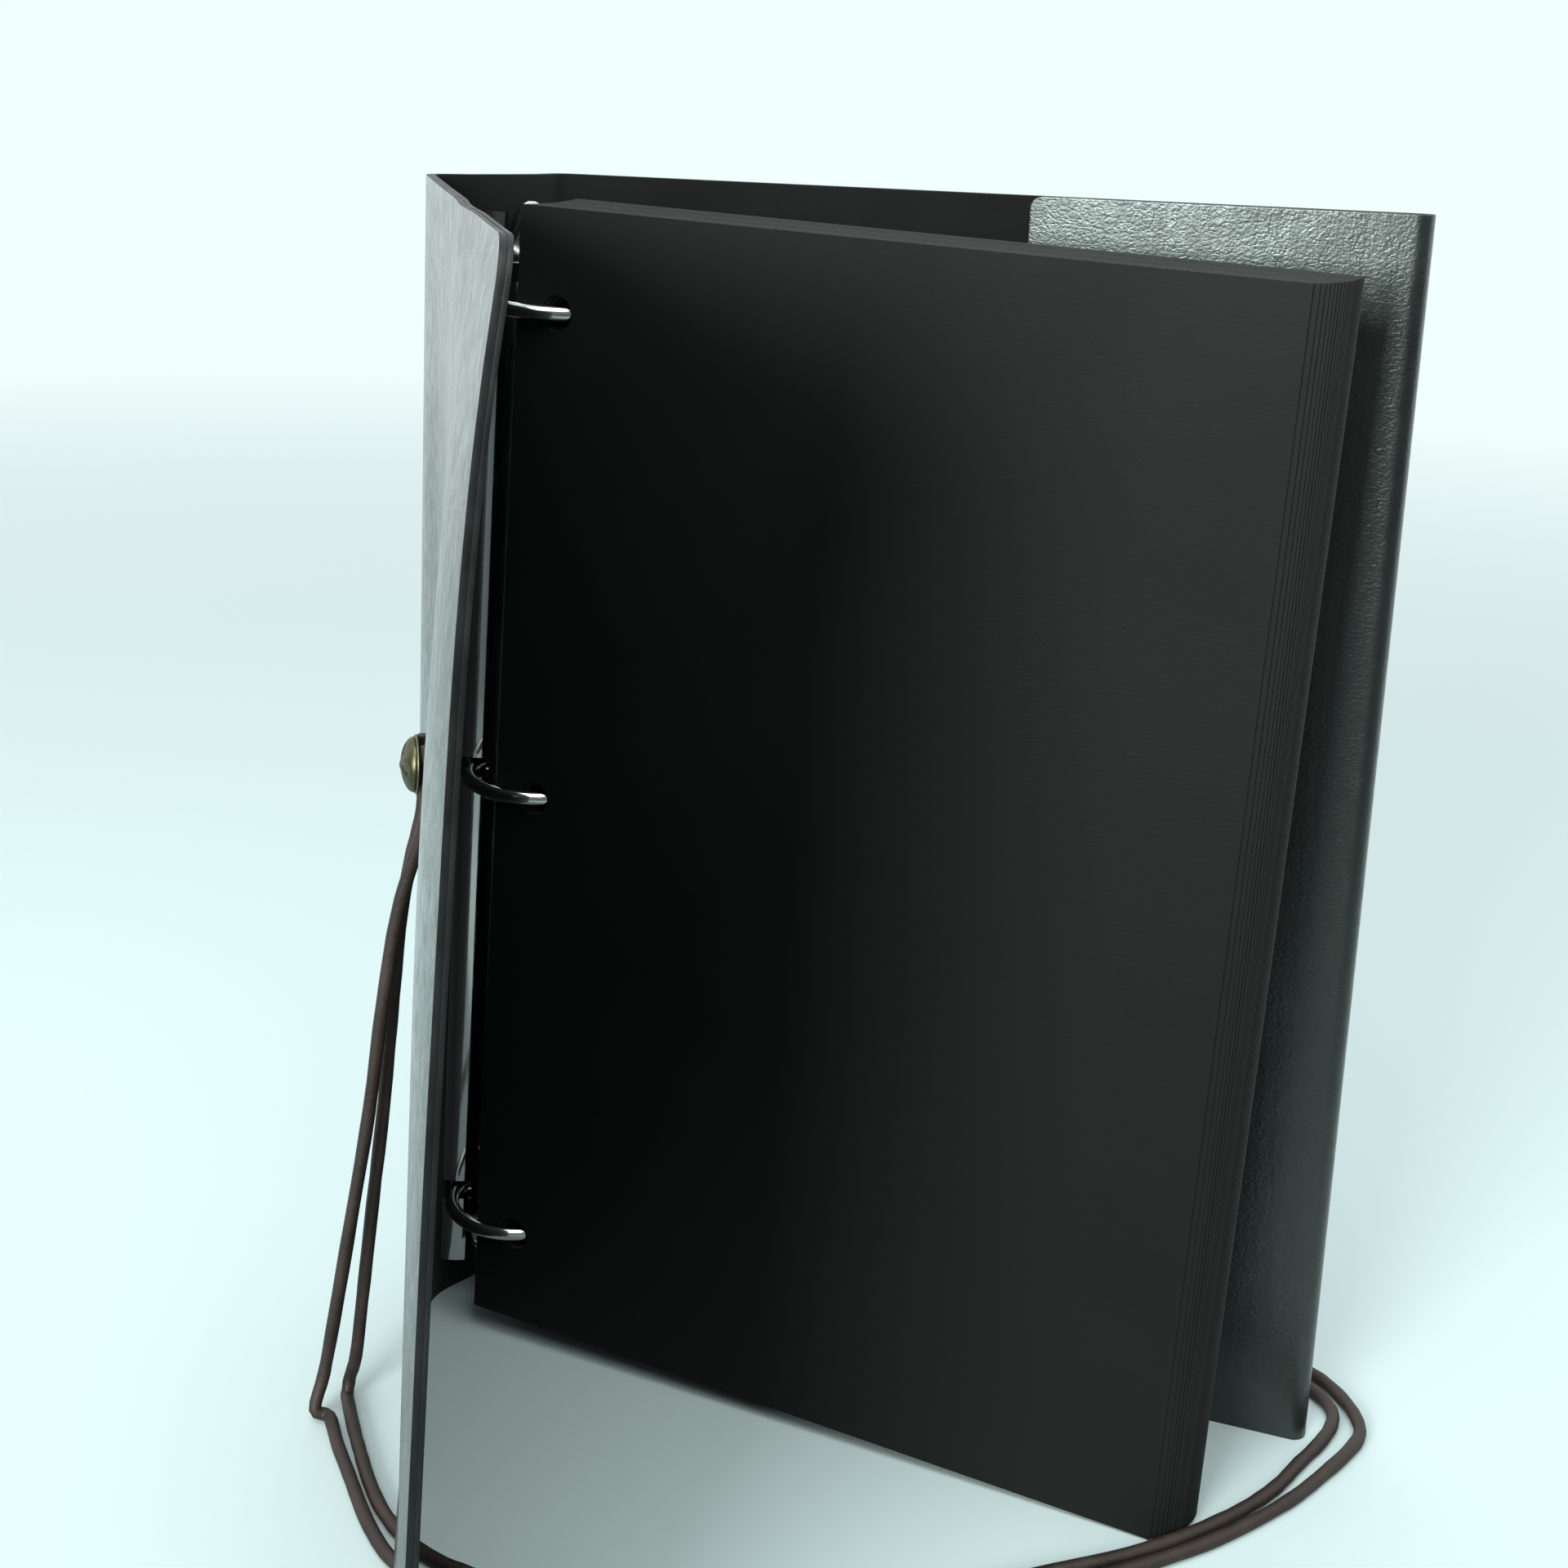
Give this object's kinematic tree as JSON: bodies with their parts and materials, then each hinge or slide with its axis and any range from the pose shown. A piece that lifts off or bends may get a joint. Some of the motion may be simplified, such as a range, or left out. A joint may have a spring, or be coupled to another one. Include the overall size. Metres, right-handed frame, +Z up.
{
  "type": "photo album",
  "caption": "Ring-bound photo album with a lined leather wrap cover, fold-over flap, card sheets and a thong that ties round a button.",
  "frame": {"origin": "middle of the spine's foot, on the floor that the album stands on", "axes": "+Z up along the cover's height, +X to the viewer's right, +Y away from the viewer"},
  "size_m": [0.2366, 0.2171, 0.271],
  "materials": {
    "leather_outer": "glossy, fine grain",
    "lining_suede": "matte, napped",
    "ring_chrome": "polished",
    "blade_steel": "satin",
    "antique_brass": "dark antique",
    "thong_leather": "smooth, dark brown",
    "card_black": "matte black card"
  },
  "bodies": {
    "spine": {"leather_spine": "leather_outer", "lining_spine": "lining_suede", "fold_front": "leather_outer", "fold_back_strip": "leather_outer", "ring_plate": "ring_chrome", "rivet_top": "ring_chrome", "rivet_bottom": "ring_chrome", "burr_top": "antique_brass", "burr_bottom": "antique_brass"},
    "front_cover": {"leather_front": "leather_outer", "lining_front": "lining_suede", "button_cap": "antique_brass", "button_post": "antique_brass", "button_back": "antique_brass", "thong": "thong_leather"},
    "back_cover": {"leather_back": "leather_outer", "lining_back": "lining_suede", "leather_fold": "leather_outer", "lining_fold": "lining_suede"},
    "flap": {"leather_flap": "leather_outer", "lining_flap": "lining_suede"},
    "ring_left": {"blade_left": "blade_steel", "ring_left_top": "ring_chrome", "ring_left_middle": "ring_chrome", "ring_left_bottom": "ring_chrome"},
    "ring_right": {"blade_right": "blade_steel", "ring_right_top": "ring_chrome", "ring_right_middle": "ring_chrome", "ring_right_bottom": "ring_chrome"},
    "lever_top": {"lever_top": "ring_chrome"},
    "lever_bottom": {"lever_bottom": "ring_chrome"},
    "leaves_turned": {"page_01": "card_black", "page_02": "card_black", "page_03": "card_black", "page_04": "card_black", "page_05": "card_black"},
    "leaves": {"page_06": "card_black", "page_07": "card_black", "page_08": "card_black", "page_09": "card_black", "page_10": "card_black", "page_11": "card_black", "page_12": "card_black", "page_13": "card_black", "page_14": "card_black", "page_15": "card_black", "page_16": "card_black", "page_17": "card_black", "page_18": "card_black", "page_19": "card_black", "page_20": "card_black"}
  },
  "joints": [
    {"name": "front_hinge", "type": "hinge", "parent": "spine", "child": "front_cover", "pos_m": [-0.0091, -0.01623, 0], "axis": [0, 0, -1], "range_deg": [-35, 55], "deforming": ["thong"]},
    {"name": "back_hinge", "type": "hinge", "parent": "spine", "child": "back_cover", "pos_m": [0.01591, 0.00966, 0], "axis": [0, 0, -1], "range_deg": [-64, 19], "deforming": ["thong"]},
    {"name": "flap_hinge", "type": "hinge", "parent": "back_cover", "child": "flap", "pos_m": [0.19187, -0.04988, 0], "axis": [0, 0, 1], "range_deg": [0, 23], "deforming": ["leather_fold", "lining_fold", "thong"]},
    {"name": "ring_open", "type": "hinge", "parent": "spine", "child": "ring_left", "pos_m": [-0.00038, -0.00999, 0.13648], "axis": [-0.0293, 0.0198, -0.9994], "range_deg": [0, 6], "deforming": ["thong"]},
    {"name": "ring_right_open", "type": "hinge", "parent": "spine", "child": "ring_right", "pos_m": [0.00997, 0.00073, 0.13639], "axis": [0.0293, -0.0198, 0.9994], "range_deg": [0, 6]},
    {"name": "lever_top_press", "type": "hinge", "parent": "spine", "child": "lever_top", "pos_m": [0.01022, -0.00885, 0.25476], "axis": [-0.6945, -0.7195, 0.0061], "range_deg": [0, 9.6]},
    {"name": "lever_bottom_press", "type": "hinge", "parent": "spine", "child": "lever_bottom", "pos_m": [0.00326, -0.00415, 0.01791], "axis": [0.6945, 0.7195, -0.0061], "range_deg": [0, 9.6]},
    {"name": "leaves_swing", "type": "hinge", "parent": "ring_left", "child": "leaves", "pos_m": [0.01529, -0.01476, 0.13592], "axis": [-0.0293, 0.0198, -0.9994], "range_deg": [-64, 19]},
    {"name": "page_turn", "type": "hinge", "parent": "leaves", "child": "leaves_turned", "pos_m": [0.01529, -0.01476, 0.13592], "axis": [0.0293, -0.0198, 0.9994], "range_deg": [-40, 0], "deforming": ["thong"]}
  ],
  "couplings": [
    {"joint": "ring_right_open", "follows": "ring_open", "ratio": 1},
    {"joint": "lever_top_press", "follows": "ring_open", "ratio": 1.6},
    {"joint": "lever_bottom_press", "follows": "ring_open", "ratio": 1.6},
    {"joint": "leaves_swing", "follows": "back_hinge", "ratio": 1}
  ]
}
